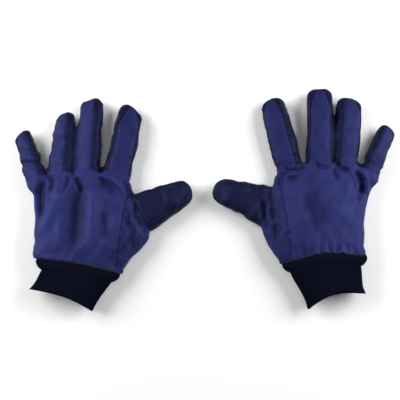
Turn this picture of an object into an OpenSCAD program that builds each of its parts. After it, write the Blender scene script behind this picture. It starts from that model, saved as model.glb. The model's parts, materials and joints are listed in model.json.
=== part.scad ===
// A pair of insulated cryogenic gloves, lying flat with the backs of the hands up.
// Each glove is a woven shell over a quilted liner, closed at the wrist by a doubled rib-knit cuff.
// +X runs along the pair, +Y towards the fingertips and +Z up. The origin is at the middle of the
// footprint, on the surface that the gloves lie on.
// A glove is drawn in its own frame: the middle of the hem at x = 0, the thumb towards +X.
// The right glove is the mirror image, with its own pose.

/* [Pair] */
// Distance between the middles of the two hems
pair_spacing = 354; // [340:1:420]
// How far the right glove lies ahead of the left one
right_ahead = 10; // [-20:1:20]

/* [Layers] */
// Thickness of the woven shell
shell_t = 1.2; // [0.8:0.1:1.6]
// Thickness of the quilted liner, batting and lining together
liner_t = 4; // [2.5:0.1:5]
// Air between two layers
layer_gap = 0.3; // [0.2:0.05:0.5]
// Thickness of one layer of the rib knit
knit_t = 1.5; // [1:0.1:2]

/* [Hand] */
// Width across the hem of the shell
hem_w = 128; // [118:1:136]
// Width of the hand from its little-finger side to the wing seam
palm_w = 130; // [118:1:134]
// Distance from the hem to the root of the middle finger
knuckle_y = 142; // [116:1:172]
// Thickness of the hand at its middle
palm_t = 42; // [36:1:46]
// Thickness of the hand at the hem
hem_t = 38; // [34:1:40]
// How far the middle finger stands off the middle of the hem
middle_offset = 7; // [0:1:12]

/* [Finger roots] */
// Gap between the roots of the index and middle fingers
index_gap = 4.5; // [3:0.5:8]
// Gap between the roots of the middle and ring fingers
ring_gap = 1.5; // [1.5:0.5:4]
// Gap between the roots of the ring and little fingers
little_gap = 2.5; // [2.5:0.5:5]
// How far the index root lies behind the middle root
index_setback = 5; // [2:1:9]
// How far the ring root lies behind the middle root
ring_setback = 3; // [1:1:7]
// How far the little root lies behind the middle root
little_setback = 13; // [9:1:17]
// How far the thumb root lies behind the middle root
thumb_setback = 64; // [58:1:70]
// How far the middle of the thumb root lies outside the index root
thumb_out = 16.5; // [12:0.5:22]

/* [Finger sizes] */
// Length of the index finger from its root
index_length = 102; // [84:1:120]
// Length of the middle finger from its root
middle_length = 109; // [90:1:128]
// Length of the ring finger from its root
ring_length = 98; // [80:1:115]
// Length of the little finger from its root
little_length = 71; // [60:1:84]
// Length of the thumb from its root
thumb_length = 80; // [72:1:96]
// Width of the index finger at its root
index_w = 41; // [34:1:49]
// Width of the middle finger at its root
middle_w = 38; // [32:1:46]
// Width of the ring finger at its root
ring_w = 38; // [30:1:42]
// Width of the little finger at its root
little_w = 30; // [27:1:36]
// Width of the thumb at its root
thumb_w = 58; // [50:1:64]
// How much narrower a finger is at its tip
finger_taper = 4; // [2:0.5:5]
// How much narrower the thumb is at its tip
thumb_taper = 21; // [16:1:23]
// Thickness of a finger and of the thumb
finger_t = 28; // [25:1:32]

/* [Cuff] */
// Width of the rolled band where it meets the hem
band_w = 118; // [112:1:126]
// Length of the rolled band
band_length = 14; // [12:1:17]
// Width of the knit at the waist below the band
waist_w = 98; // [90:1:104]
// Width of the knit at the cuff's open end
cuff_w = 88; // [84:1:96]
// Length of the knit below the band
cuff_length = 46; // [38:1:56]
// Thickness of the cuff at the waist
waist_t = 32; // [30:1:36]
// Thickness of the cuff at its open end
cuff_t = 38; // [34:1:42]
// Length of the binding tape between the hem and the cuff
binding_w = 2; // [1.5:0.5:3]

/* [Left glove pose] */
// Lean of the index finger towards the thumb
left_index_lean = 12; // [6:1:14]
// Lean of the middle finger towards the thumb
left_middle_lean = 5; // [0:1:6]
// Lean of the ring finger towards the thumb
left_ring_lean = 6; // [-3:1:6]
// Lean of the little finger towards the thumb
left_little_lean = -18; // [-26:1:-12]
// Lean of the thumb away from straight ahead
left_thumb_lean = 60; // [54:1:76]
// Tilt of the hem, thumb side lower
left_hem_tilt = 10; // [0:1:12]
// Lean of the knit cuff away from the thumb, beyond the hem's tilt
left_cuff_lean = 11; // [0:1:14]
// How much shorter the crumpled ring finger lies
left_ring_crumple = 8; // [0:1:12]

/* [Right glove pose] */
// Lean of the index finger towards the thumb
right_index_lean = 13; // [6:1:14]
// Lean of the middle finger towards the thumb
right_middle_lean = 0; // [0:1:6]
// Lean of the ring finger towards the thumb
right_ring_lean = -3; // [-6:1:0]
// Lean of the little finger towards the thumb
right_little_lean = -22; // [-26:1:-12]
// Lean of the thumb away from straight ahead
right_thumb_lean = 72; // [54:1:76]
// Tilt of the hem, thumb side lower
right_hem_tilt = 5; // [0:1:12]
// Lean of the knit cuff away from the thumb, beyond the hem's tilt
right_cuff_lean = 11; // [0:1:14]
// How much shorter the crumpled ring finger lies
right_ring_crumple = 0; // [0:1:12]

/* [Joints] */
// How far a finger bends at its root
root_flex = 50; // [30:1:60]
// How far a finger bends back at its root
root_back = 15; // [0:1:20]
// How far a finger bends at its middle
mid_flex = 60; // [30:1:70]
// How far the thumb swings in towards the index finger
thumb_in = 20; // [10:1:22]
// How far the thumb swings out
thumb_out_swing = 10; // [0:1:15]
// How far the thumb bends at its middle
thumb_flex = 40; // [20:1:45]
// How far the cuff lifts at the hem
wrist_lift = 30; // [10:1:35]
// How far the cuff drops at the hem
wrist_drop = 15; // [5:1:20]

/* [Hidden] */
SIDES = ["left", "right"];
DIGITS = ["index", "middle", "ring", "little", "thumb"];
HAND_PIECES = [
    "back_panel", "palm_panel", "thumb_wing", "hand_liner",
    "hem_binding", "cuff_band", "knit_cuff"
];
DIGIT_PIECES = ["base_shell", "tip_shell", "base_liner", "tip_liner"];

shell_color = [0.035, 0.038, 0.21];
knit_color = [0.012, 0.013, 0.035];
liner_color = [0.55, 0.6, 0.68];
binding_color = [0.01, 0.01, 0.02];

INDEX = 0;
MIDDLE = 1;
RING = 2;
LITTLE = 3;
THUMB = 4;
DIGIT_NUMBERS = [INDEX : THUMB];

// The hinge faces of two pieces stand this far apart, and clear each other by this angle when closed.
hinge_gap = 0.3;
hinge_clear = 1;
// Sideways room beside a finger's root, and how far its path is cut free on both sides of the root.
side_clear = 0.4;
path_length = 24;
// The ways from the hand into the fingers have a lip this high all round.
way_step = 0.2;
// The strips of a finger's shell are this far apart at their seams.
seam_gap = 0.2;
// A cutting shape reaches this far past what it cuts.
past = 2;
big = 400;
tip_steps = 8;

// Where a finger bends at its middle, as a length from its root.
mid_share = 0.46;
// The top of a fingertip slopes down over this length, and the underside rises over its own.
tip_slope_l = 22;
tip_slope_h = 8;
tip_rise_l = 12;
tip_rise_h = 4;
// Heights of the seams along a finger: palm strip, side strip, back strip.
low_seam_z = finger_t / 4;
high_seam_z = finger_t - finger_t / 4;
side_seam_z = finger_t / 2 - 1;
// The hand is fullest from this far ahead of the hem to this far behind the thumb's root, and as thin
// as a finger where the other roots start.
full_y = 30;
full_back = 13;
knuckle_slope = 16;
// Half-widths of the hand's crown: full height inside the first, the wing's height outside the second.
crown_x = 34;
shoulder_x = 62;
shoulder_t = finger_t + 2;
// The heel of the hand below the thumb, outside the hem's corner.
heel_out = 8;
heel_y = 5;
// The wing seam starts this far inside the hem's corner and ends this far behind the index root.
wing_in = 12;
wing_back = 18;
// The little-finger side widens from this far ahead of the hem, to this far behind the little root.
side_low = 30;
side_high = path_length + past;

shell_in = shell_t;
liner_out = shell_in + layer_gap;
liner_in = liner_out + liner_t;
cuff_fold_in = 2 * knit_t + layer_gap;

function index_x() = middle_offset + middle_w / 2 + index_gap + index_w / 2;
function ring_x() = middle_offset - middle_w / 2 - ring_gap - ring_w / 2;
function little_x() = ring_x() - ring_w / 2 - little_gap - little_w / 2;
function thumb_x() = index_x() + index_w / 2 + thumb_out;
function setbacks() = [index_setback, 0, ring_setback, little_setback, thumb_setback];
function root(digit) = [
    [index_x(), middle_offset, ring_x(), little_x(), thumb_x()][digit],
    knuckle_y - hem_y() - setbacks()[digit]
];
// The hem's middle lies a little behind the glove frame's origin.
function hem_y() = 3;

function root_w(digit) = [index_w, middle_w, ring_w, little_w, thumb_w][digit];
function tip_w(digit) = root_w(digit) - (digit == THUMB ? thumb_taper : finger_taper);
function is_left(side) = side == "left";
function crumple(side) = is_left(side) ? left_ring_crumple : right_ring_crumple;
function digit_length(side, digit) =
    [index_length, middle_length, ring_length - crumple(side), little_length, thumb_length][digit];
function mid_y(side, digit) = mid_share * digit_length(side, digit);
function leans(side) = is_left(side)
    ? [left_index_lean, left_middle_lean, left_ring_lean, left_little_lean, left_thumb_lean]
    : [right_index_lean, right_middle_lean, right_ring_lean, right_little_lean, right_thumb_lean];
function lean(side, digit) = leans(side)[digit];
function hem_tilt(side) = is_left(side) ? left_hem_tilt : right_hem_tilt;
function cuff_lean(side) = is_left(side) ? left_cuff_lean : right_cuff_lean;

// A direction that leans by an angle from +Y towards +X, and the direction to its right.
function ahead(angle) = [sin(angle), cos(angle)];
function across(angle) = [cos(angle), -sin(angle)];
function root_corner(side, digit, s) = root(digit) + s * root_w(digit) / 2 * across(lean(side, digit));
function tip_centre(side, digit) =
    root(digit) + (digit_length(side, digit) - tip_w(digit) / 2) * ahead(lean(side, digit));

// A point of the hem's own frame, whose +Y runs into the hand, in the glove's frame.
function from_hem(side, p) =
    [0, -hem_y()] + p.x * across(hem_tilt(side)) + p.y * ahead(hem_tilt(side));
function cuff_end(side, s) = from_hem(side, [
    s * cuff_w / 2 - cuff_length * tan(cuff_lean(side)),
    -binding_w - band_length - cuff_length
]);

// Half the footprint, measured from the fingertips and the cuffs' corners.
function place_x(side) = is_left(side) ? -pair_spacing / 2 : pair_spacing / 2;
function place_y(side) = is_left(side) ? 0 : right_ahead;
function reach_x(side) = -tip_centre(side, LITTLE).x + tip_w(LITTLE) / 2;
function reach_y(side) = place_y(side) + tip_centre(side, MIDDLE).y + tip_w(MIDDLE) / 2;
function low_y(side) = place_y(side) + cuff_end(side, 1).y;
centre_x = (reach_x("right") - reach_x("left")) / 2;
centre_y = (max(reach_y("left"), reach_y("right")) + min(low_y("left"), low_y("right"))) / 2;

// A simple polygon, listed clockwise, with every edge moved inwards by d.
function edge_normal(a, b) = [(b - a).y, -(b - a).x] / norm(b - a);
function inset(points, d) = [
    for (i = [0 : len(points) - 1])
        let (
            p = points[i],
            before = edge_normal(points[(i + len(points) - 1) % len(points)], p),
            after = edge_normal(p, points[(i + 1) % len(points)])
        )
        p + d * (before + after) / (1 + before * after)
];

// The hand seen from above, listed clockwise from the hem's little-finger corner. The hem end is
// drawn out straight by open.
function hand_outline(side, open) = [
    if (open > 0) from_hem(side, [-hem_w / 2, -open]),
    from_hem(side, [-hem_w / 2, 0]),
    [-palm_w / 2, side_low],
    root_corner(side, LITTLE, -1) - side_high * ahead(lean(side, LITTLE)),
    for (digit = [LITTLE, RING, MIDDLE, INDEX, THUMB]) each [
        root_corner(side, digit, -1),
        root_corner(side, digit, 1)
    ],
    [hem_w / 2 + heel_out, heel_y],
    from_hem(side, [hem_w / 2, 0]),
    if (open > 0) from_hem(side, [hem_w / 2, -open])
];

// The region on the thumb's side of the wing seam.
function wing_outline(side) = [
    from_hem(side, [hem_w / 2 - wing_in, -band_length]),
    from_hem(side, [hem_w / 2 - wing_in, 0]),
    [root_corner(side, INDEX, 1).x - past, root(INDEX).y - wing_back],
    [big, root(INDEX).y - wing_back],
    [big, -band_length - hem_w / 2]
];

// Prisms that stand on the floor, or run along X or along Y.
module upright(points) {
    translate([0, 0, -past])
        linear_extrude(palm_t + 2 * past)
            polygon(points);
}

module along_x(points) {
    rotate([90, 0, 90])
        linear_extrude(big, center = true)
            polygon(points);
}

module along_y(points) {
    rotate([90, 0, 0])
        linear_extrude(2 * big, center = true)
            polygon(points);
}

// A band of height in Z, used to cut a skin along its seams.
module level(low, high) {
    translate([-big / 2, -big / 2, low])
        cube([big, big, high - low]);
}

module at_digit(side, digit) {
    translate(root(digit))
        rotate(-lean(side, digit))
            children();
}

module at_hem(side) {
    translate([0, -hem_y()])
        rotate(-hem_tilt(side))
            children();
}

module in_glove(side) {
    translate([place_x(side) - centre_x, place_y(side) - centre_y, 0])
        mirror([is_left(side) ? 0 : 1, 0, 0])
            children();
}

// The solid form of a hand, with all its faces d further in.
module hand_form(side, d, open) {
    intersection() {
        upright(inset(hand_outline(side, open), d));
        along_x([
            [-hem_w, d],
            [-hem_w, hem_t - d],
            [0, hem_t - d],
            [full_y, palm_t - d],
            [root(THUMB).y - full_back, palm_t - d],
            [root(LITTLE).y - knuckle_slope, finger_t - d],
            [big / 2, finger_t - d],
            [big / 2, d]
        ]);
        along_y([
            [-big / 2, d],
            [-big / 2, finger_t - d],
            [-palm_w / 2 - shoulder_x / 2, finger_t - d],
            [-shoulder_x, shoulder_t - d],
            [-crown_x, palm_t - d],
            [crown_x, palm_t - d],
            [shoulder_x, shoulder_t - d],
            [root(THUMB).x, finger_t - d],
            [big / 2, finger_t - d],
            [big / 2, d]
        ]);
    }
}

// The solid form of a finger in its own frame, root at y = 0, with all its faces d further in.
module digit_form(side, digit, d, open) {
    length = digit_length(side, digit);
    tip_r = tip_w(digit) / 2;
    root_r = root_w(digit) / 2;
    intersection() {
        upright([
            [root_r - d, -open],
            [-root_r + d, -open],
            [-root_r + d, 0],
            for (step = [0 : tip_steps])
                let (turn = 180 - 180 * step / tip_steps)
                [0, length - tip_r] + (tip_r - d) * [cos(turn), sin(turn)],
            [root_r - d, 0]
        ]);
        along_x([
            [-open - past, d],
            [-open - past, finger_t - d],
            [length - tip_slope_l, finger_t - d],
            [length, finger_t - tip_slope_h - d],
            [length, tip_rise_h + d],
            [length - tip_rise_l, d]
        ]);
    }
}

function root_close(digit) = digit == THUMB ? thumb_in : root_flex;
function root_open(digit) = digit == THUMB ? thumb_out_swing : root_back;
function mid_close(digit) = digit == THUMB ? thumb_flex : mid_flex;
function hinge_reach(digit) = digit == THUMB ? thumb_w : finger_t;

// The face of a piece at a hinge on the line y, as an outline in the plane that the hinge bends in.
// It leans back by close on the side that closes, where the second coordinate is negative, and by
// back on the other side.
function hinge_face(y, sign, close, back, reach) = [
    [y + sign * (hinge_gap + reach * tan(close + hinge_clear)), -reach],
    [y + sign * hinge_gap, 0],
    [y + sign * (hinge_gap + reach * tan(back + hinge_clear)), reach]
];
// Both pieces at a finger's hinge lean back by half of its range.
function root_face(digit, sign) =
    hinge_face(0, sign, root_close(digit) / 2, root_open(digit) / 2, hinge_reach(digit));
function mid_face(side, digit, sign) =
    hinge_face(mid_y(side, digit), sign, mid_close(digit) / 2, 0, hinge_reach(digit));

function reversed(list) = [for (i = [len(list) - 1 : -1 : 0]) list[i]];

// The stretch of a finger between two faces, drawn in the plane that its hinges bend in.
module stretch(digit, points) {
    if (digit == THUMB)
        linear_extrude(2 * big, center = true)
            mirror([1, -1])
                polygon(points);
    else
        translate([0, 0, finger_t / 2])
            along_x(points);
}

module base_stretch(side, digit) {
    stretch(digit, concat(root_face(digit, 1), reversed(mid_face(side, digit, -1))));
}

module tip_stretch(side, digit) {
    reach = hinge_reach(digit);
    stretch(digit, concat(mid_face(side, digit, 1), [[big, reach], [big, -reach]]));
}

// The room that the hand leaves for a finger's root to bend.
module root_room(side, digit) {
    reach = hinge_reach(digit);
    half = root_w(digit) / 2 + side_clear;
    intersection() {
        stretch(digit, concat(
            root_face(digit, -1),
            [[path_length, reach], [path_length, -reach]]
        ));
        translate([-half, -path_length, -past])
            cube([2 * half, 2 * path_length, palm_t + 2 * past]);
    }
}

module finger_rooms(side) {
    for (digit = DIGIT_NUMBERS)
        at_digit(side, digit)
            root_room(side, digit);
}

// The ways into the fingers, a step narrower than the fingers' inside d in from their faces.
module finger_ways(side, d) {
    for (digit = DIGIT_NUMBERS)
        at_digit(side, digit)
            digit_form(side, digit, d + way_step, path_length);
}

// One layer of the hand, from d in to d + t in, open to the fingers and to the cuff.
module hand_skin(side, d, t) {
    difference() {
        hand_form(side, d, d);
        hand_form(side, d + t, d + t + past);
        finger_ways(side, d + t);
        finger_rooms(side);
    }
}

// One layer of a finger, from d in to d + t in, open at the root.
module digit_skin(side, digit, d, t) {
    difference() {
        digit_form(side, digit, d, 0);
        digit_form(side, digit, d + t, past);
    }
}

module back_panel(side) {
    color(shell_color)
        difference() {
            intersection() {
                hand_skin(side, 0, shell_t);
                level(side_seam_z, palm_t + past);
            }
            upright(wing_outline(side));
        }
}

module palm_panel(side) {
    color(shell_color)
        difference() {
            intersection() {
                hand_skin(side, 0, shell_t);
                level(-past, side_seam_z);
            }
            upright(wing_outline(side));
        }
}

module thumb_wing(side) {
    color(shell_color)
        intersection() {
            hand_skin(side, 0, shell_t);
            upright(wing_outline(side));
        }
}

module hand_liner(side) {
    color(liner_color)
        hand_skin(side, liner_out, liner_t);
}

// The tape that closes the raw edges of shell and liner at the wrist.
module hem_binding(side) {
    color(binding_color)
        difference() {
            intersection() {
                hand_form(side, 0, binding_w + past);
                at_hem(side)
                    along_x([[-binding_w, -past], [-binding_w, palm_t], [0, palm_t], [0, -past]]);
            }
            hand_form(side, liner_in, binding_w + liner_in + 2 * past);
        }
}

// The shell of one stretch of a finger: back strip, palm strip and the side strip between them.
// The thumb has two halves that meet along its sides.
module seamed_shell(side, digit) {
    seams = digit == THUMB ? [side_seam_z] : [low_seam_z, high_seam_z];
    edges = concat([-past], seams, [finger_t + past]);
    for (i = [1 : len(edges) - 1])
        intersection() {
            digit_skin(side, digit, 0, shell_t);
            level(edges[i - 1] + seam_gap / 2, edges[i] - seam_gap / 2);
            children();
        }
}

module base_shell(side, digit) {
    color(shell_color)
        at_digit(side, digit)
            seamed_shell(side, digit)
                base_stretch(side, digit);
}

module tip_shell(side, digit) {
    color(shell_color)
        at_digit(side, digit)
            seamed_shell(side, digit)
                tip_stretch(side, digit);
}

module base_liner(side, digit) {
    color(liner_color)
        at_digit(side, digit)
            intersection() {
                digit_skin(side, digit, liner_out, liner_t);
                base_stretch(side, digit);
            }
}

module tip_liner(side, digit) {
    color(liner_color)
        at_digit(side, digit)
            intersection() {
                digit_skin(side, digit, liner_out, liner_t);
                tip_stretch(side, digit);
            }
}

// The solid form of the cuff in the hem's frame, with all its faces d further in.
module cuff_form(side, d, open) {
    start = -binding_w;
    waist = start - band_length;
    end = waist - cuff_length;
    shift = cuff_length * tan(cuff_lean(side));
    outline = [
        [-band_w / 2, start + open],
        [band_w / 2, start + open],
        [band_w / 2, start],
        [waist_w / 2, waist],
        [cuff_w / 2 - shift, end],
        [cuff_w / 2 - shift, end - open],
        [-cuff_w / 2 - shift, end - open],
        [-cuff_w / 2 - shift, end],
        [-waist_w / 2, waist],
        [-band_w / 2, start]
    ];
    lift = (hem_t - waist_t) / 2;
    intersection() {
        upright(inset(outline, d));
        along_x([
            [end - open - past, d],
            [end, d],
            [waist, lift + d],
            [start, d],
            [start + open + past, d],
            [start + open + past, hem_t - d],
            [start, hem_t - d],
            [waist, lift + waist_t - d],
            [end, cuff_t - d],
            [end - open - past, cuff_t - d]
        ]);
    }
}

module cuff_skin(side, d, t) {
    difference() {
        cuff_form(side, d, past + d);
        cuff_form(side, d + t, 2 * past + d + t);
    }
}

// A stretch of the cuff between two distances from the hem.
module cuff_stretch(from, to) {
    along_x([[-to, -past], [-to, palm_t + past], [-from, palm_t + past], [-from, -past]]);
}

// The cuff's side of the wrist hinge, which leans back by the hinge's whole range.
module wrist_face() {
    translate([0, 0, hem_t / 2])
        along_x(concat(
            hinge_face(-binding_w - hinge_gap, -1, wrist_drop, wrist_lift, hem_t),
            [[-big, hem_t], [-big, -hem_t]]
        ));
}

// The knit stretched out to the hem, bulging between the hem and the waist.
module cuff_band(side) {
    color(knit_color)
        at_hem(side)
            intersection() {
                cuff_skin(side, 0, cuff_fold_in);
                cuff_stretch(binding_w, binding_w + band_length);
                wrist_face();
            }
}

// The rib knit, turned back on itself at the open end: two layers joined by the fold.
module knit_cuff(side) {
    waist = binding_w + band_length;
    end = waist + cuff_length;
    color(knit_color)
        at_hem(side)
            difference() {
                intersection() {
                    cuff_skin(side, 0, cuff_fold_in);
                    cuff_stretch(waist, end);
                    wrist_face();
                }
                intersection() {
                    cuff_skin(side, knit_t, layer_gap);
                    cuff_stretch(waist - past, end - knit_t);
                }
            }
}

module hand_piece(side, piece) {
    in_glove(side) {
        if (piece == "back_panel") back_panel(side);
        if (piece == "palm_panel") palm_panel(side);
        if (piece == "thumb_wing") thumb_wing(side);
        if (piece == "hand_liner") hand_liner(side);
        if (piece == "hem_binding") hem_binding(side);
        if (piece == "cuff_band") cuff_band(side);
        if (piece == "knit_cuff") knit_cuff(side);
    }
}

module digit_piece(side, digit, piece) {
    in_glove(side) {
        if (piece == "base_shell") base_shell(side, digit);
        if (piece == "tip_shell") tip_shell(side, digit);
        if (piece == "base_liner") base_liner(side, digit);
        if (piece == "tip_liner") tip_liner(side, digit);
    }
}

for (side = SIDES) {
    for (piece = HAND_PIECES)
        hand_piece(side, piece);
    for (digit = DIGIT_NUMBERS, piece = DIGIT_PIECES)
        digit_piece(side, digit, piece);
}
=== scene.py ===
"""Looks of a pair of cryogenic gloves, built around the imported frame.

Each glove is drawn as a plain padded form from the frame's joints and boxes, swollen by a short
cloth simulation, creased, and then parted into the pieces that the real glove is sewn from.
Lengths are in metres. Landmarks of a hand are in millimetres in the glove's own plan: x towards
the thumb and y towards the fingers, from a point just ahead of the middle of the hem.
"""

import json
import math

import bmesh
import bpy
import numpy as np
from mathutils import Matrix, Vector
from mathutils.bvhtree import BVHTree


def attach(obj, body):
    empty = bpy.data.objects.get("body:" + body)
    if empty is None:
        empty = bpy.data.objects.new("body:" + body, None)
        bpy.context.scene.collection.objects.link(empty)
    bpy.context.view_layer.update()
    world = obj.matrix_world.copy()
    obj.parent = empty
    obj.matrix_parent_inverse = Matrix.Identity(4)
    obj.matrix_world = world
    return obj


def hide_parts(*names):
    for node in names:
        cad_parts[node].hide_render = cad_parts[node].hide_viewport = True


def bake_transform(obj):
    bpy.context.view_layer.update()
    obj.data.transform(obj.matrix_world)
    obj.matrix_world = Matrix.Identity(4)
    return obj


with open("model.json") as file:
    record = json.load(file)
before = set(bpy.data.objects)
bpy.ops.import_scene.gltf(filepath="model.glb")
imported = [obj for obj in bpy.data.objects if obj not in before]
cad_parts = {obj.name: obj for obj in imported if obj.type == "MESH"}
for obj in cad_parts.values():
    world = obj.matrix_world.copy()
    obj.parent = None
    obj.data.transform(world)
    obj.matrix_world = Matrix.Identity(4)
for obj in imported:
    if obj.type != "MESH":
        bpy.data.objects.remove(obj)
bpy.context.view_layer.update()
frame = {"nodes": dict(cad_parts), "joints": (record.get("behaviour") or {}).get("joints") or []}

MM = 0.001
SIDES = ("left", "right")
FINGERS = ("index", "middle", "ring", "little")
DIGITS = FINGERS + ("thumb",)

SHELL_T = 1.0 * MM
LINER_OUT = 2.4 * MM
LINER_IN = 5.6 * MM
# The liner stops this far inside the shell's hem.
LINER_HEM = 5 * MM
VOXEL = 2.6 * MM
SWELL_FRAMES = 16
SWELL_CAP = 3.2 * MM
START_IN = 0.8 * MM
# Inflating a flat tube narrows it, so a digit starts this much wider.
DIGIT_OUT = 1.2 * MM
# The height that parts a hand's back from its palm; the cuff is centred on it too.
MID_HEIGHT = 19 * MM


# ---- camera

def add_camera():
    """A long lens at the wrist end, looking down on the backs of the hands."""
    elevation = math.radians(79)
    distance = 1.615
    aim = Vector((-0.0065, 0.0, 0.012))
    data = bpy.data.cameras.new("camera")
    data.lens = 100
    data.sensor_width = 36
    camera = bpy.data.objects.new("camera", data)
    bpy.context.scene.collection.objects.link(camera)
    back = Vector((0, -math.cos(elevation), math.sin(elevation)))
    camera.location = aim + distance * back
    camera.rotation_euler = back.to_track_quat("Z", "Y").to_euler()
    bpy.context.scene.camera = camera
    bpy.context.scene.view_settings.view_transform = "Standard"


add_camera()


# ---- frame facts

JOINTS = {joint["name"]: joint for joint in frame["joints"]}


def get_vectors(mesh, key):
    vectors = np.empty(3 * len(mesh.vertices))
    mesh.vertices.foreach_get(key, vectors)
    return vectors.reshape(-1, 3)


def get_points(mesh):
    return get_vectors(mesh, "co")


def mesh_normals(mesh):
    return get_vectors(mesh, "normal")


def node_points(name):
    """A CAD node's vertices, which are in the row frame."""
    return get_points(frame["nodes"][name].data)


def unit(v):
    return v / np.linalg.norm(v)


class Digit:
    """Where one finger or thumb lies, from its two joints and its two shell nodes."""

    def __init__(self, side, name):
        self.side = side
        self.name = name
        self.kind = "thumb" if name == "thumb" else "finger"
        root = np.array(JOINTS[f"{side}_{name}_root"]["pos_m"])
        middle = np.array(JOINTS[f"{side}_{name}_middle"]["pos_m"])
        self.root = root[:2]
        self.mid = float(np.linalg.norm(middle[:2] - root[:2]))
        self.ahead = unit(middle[:2] - root[:2])
        towards_thumb = np.array([self.ahead[1], -self.ahead[0]])
        self.across = towards_thumb if side == "left" else -towards_thumb
        base = self.local(node_points(f"{side}_{name}_base_shell"))
        tip = self.local(node_points(f"{side}_{name}_tip_shell"))
        self.half_root = float(np.abs(base[:, 0]).max())
        half_mid = float(np.abs(tip[:, 0]).max())
        self.narrowing = (self.half_root - half_mid) / float(tip[:, 1].min())
        self.length = float(tip[:, 1].max())
        self.thick = float(base[:, 2].max())
        self.split = 0.56 * self.mid

    def local(self, points):
        """Across towards the thumb, along from the root, and height."""
        flat = points[:, :2] - self.root
        return np.column_stack((flat @ self.across, flat @ self.ahead, points[:, 2]))

    def half(self, y):
        """Half the width where the digit is y from its root, before its tip rounds off."""
        return self.half_root - self.narrowing * np.clip(y, -0.03, self.length)

    def drawn_length(self):
        return self.length + LONGER[self.side][self.name] * MM

    def drawn_half(self, y):
        """Half the width of the form before it is swollen."""
        share = smooth(y / self.drawn_length())
        flare = THUMB_FLARE * (1 - share) if self.name == "thumb" else 0
        return self.half(y) + DIGIT_OUT - TAPER[self.side][self.name] * MM * share + flare

    def drawn_centre(self, y):
        """How far the form lies towards the thumb from the joints' line."""
        return SHIFT[self.side][self.name] * MM * smooth(0.3 + y / self.drawn_length())

    def place(self, x, y, z):
        flat = self.root + x[:, None] * self.across + y[:, None] * self.ahead
        return np.column_stack((flat, z))

    def axis_point(self, y):
        flat = self.root + y * self.ahead
        return (flat[0], flat[1], self.thick / 2)


class Glove:
    """One glove's plan and its digits."""

    def __init__(self, side):
        self.side = side
        self.mirror = 1 if side == "left" else -1
        wrist = JOINTS[f"{side}_wrist"]
        axis = np.array(wrist["axis"][:2])
        self.wrist = np.array(wrist["pos_m"])
        self.hem_ahead = unit(np.array([-axis[1], axis[0]]))
        if self.hem_ahead[1] < 0:
            self.hem_ahead = -self.hem_ahead
        towards_thumb = np.array([self.hem_ahead[1], -self.hem_ahead[0]])
        self.hem_across = self.mirror * towards_thumb
        binding = node_points(f"{side}_hem_binding")[:, :2] - self.wrist[:2]
        self.hem = self.wrist[:2] + float((binding @ self.hem_ahead).max()) * self.hem_ahead
        self.origin = self.hem + np.array([0, 3 * MM])
        self.digits = {name: Digit(side, name) for name in DIGITS}

    def plan(self, points):
        """Row points to the glove's plan, in metres."""
        flat = points[:, :2] - self.origin
        return np.column_stack((self.mirror * flat[:, 0], flat[:, 1]))

    def row(self, plan_mm):
        """Plan points in millimetres to the row frame."""
        plan_mm = np.asarray(plan_mm, float) * MM
        return self.origin + plan_mm * [self.mirror, 1]

    def from_hem(self, points):
        """Across the hem, and ahead of it into the hand."""
        flat = points[:, :2] - self.hem
        return np.column_stack((flat @ self.hem_across, flat @ self.hem_ahead))

    def at_hem(self, x, y, z):
        flat = self.hem + x[:, None] * self.hem_across + y[:, None] * self.hem_ahead
        return np.column_stack((flat, z))


GLOVES = {side: Glove(side) for side in SIDES}

# How each finger's box-shaped section is rolled about its length, in degrees: above zero the side
# strip away from the thumb turns up into view. Then how far its tip slants, outer side lower.
ROLL = {
    "left": dict(index=12, middle=-30, ring=-34, little=-20, thumb=-8),
    "right": dict(index=24, middle=2, ring=-20, little=-24, thumb=10),
}
TIP_SLANT = {
    "left": dict(index=-0.45, middle=0.2, ring=0.2, little=0.45, thumb=0.0),
    "right": dict(index=-0.1, middle=0.0, ring=0.1, little=0.1, thumb=0.0),
}
# In millimetres: how much longer each digit is than its shell in the frame, how far it lies
# towards the thumb from its joints' line, and how much each side is drawn in at the tip.
LONGER = {
    "left": dict(index=3, middle=3, ring=3.5, little=5.5, thumb=3),
    "right": dict(index=7, middle=7.5, ring=7, little=6, thumb=2),
}
SHIFT = {
    "left": dict(index=0, middle=-2, ring=-2, little=2, thumb=3.5),
    "right": dict(index=1, middle=-2.5, ring=-1.5, little=0.5, thumb=-1.5),
}
TAPER = {
    "left": dict(index=0, middle=0, ring=3.5, little=0, thumb=-0.5),
    "right": dict(index=0, middle=-1.2, ring=-1, little=0, thumb=0),
}
TOUCH_GAP = 0.15 * MM
# Before it is swollen, a finger stays this far from the plane half-way to its neighbour.
FORM_GAP = 1.55 * MM
# A thumb is this much wider each side at its root.
THUMB_FLARE = 2.5 * MM
# Which side of a finger has no neighbour: 1 towards the thumb, -1 away from it.
OPEN_SIDE = dict(index=1, middle=0, ring=0, little=-1)
# Fingers widen by this much just behind their roots, to close the web between them.
ROOT_OUT = 3 * MM
# A digit's section is a soft box of these proportions; a hand's is a rounder one. An outline is
# squared up as its power falls below 1.
BOX = np.array([1.0, 0.78])
DIGIT_POWER = 2 / 3
HAND_POWER = 0.8
SECTION_POINTS = 40
# How far a digit's form runs back inside the hand, how far it sinks below the hand's back there,
# and how far the underside of its tip rises.
RUN_BACK = {"finger": 34 * MM, "thumb": 58 * MM}
SINK = {"finger": 3 * MM, "thumb": 6 * MM}
TIP_RISE = {"finger": 3 * MM, "thumb": 4 * MM}
# The top of a digit slopes down by this much, and the slopes above and below start this far
# short of the tip.
TIP_DROP = 8 * MM
DROP_RUN = 34 * MM
RISE_RUN = 30 * MM
# The part of a digit's thickness that is left at the very end of its tip.
TIP_LEFT = 0.35
# What holds only ahead of the roots comes on over this length.
ROOT_RUN = 8 * MM

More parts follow.
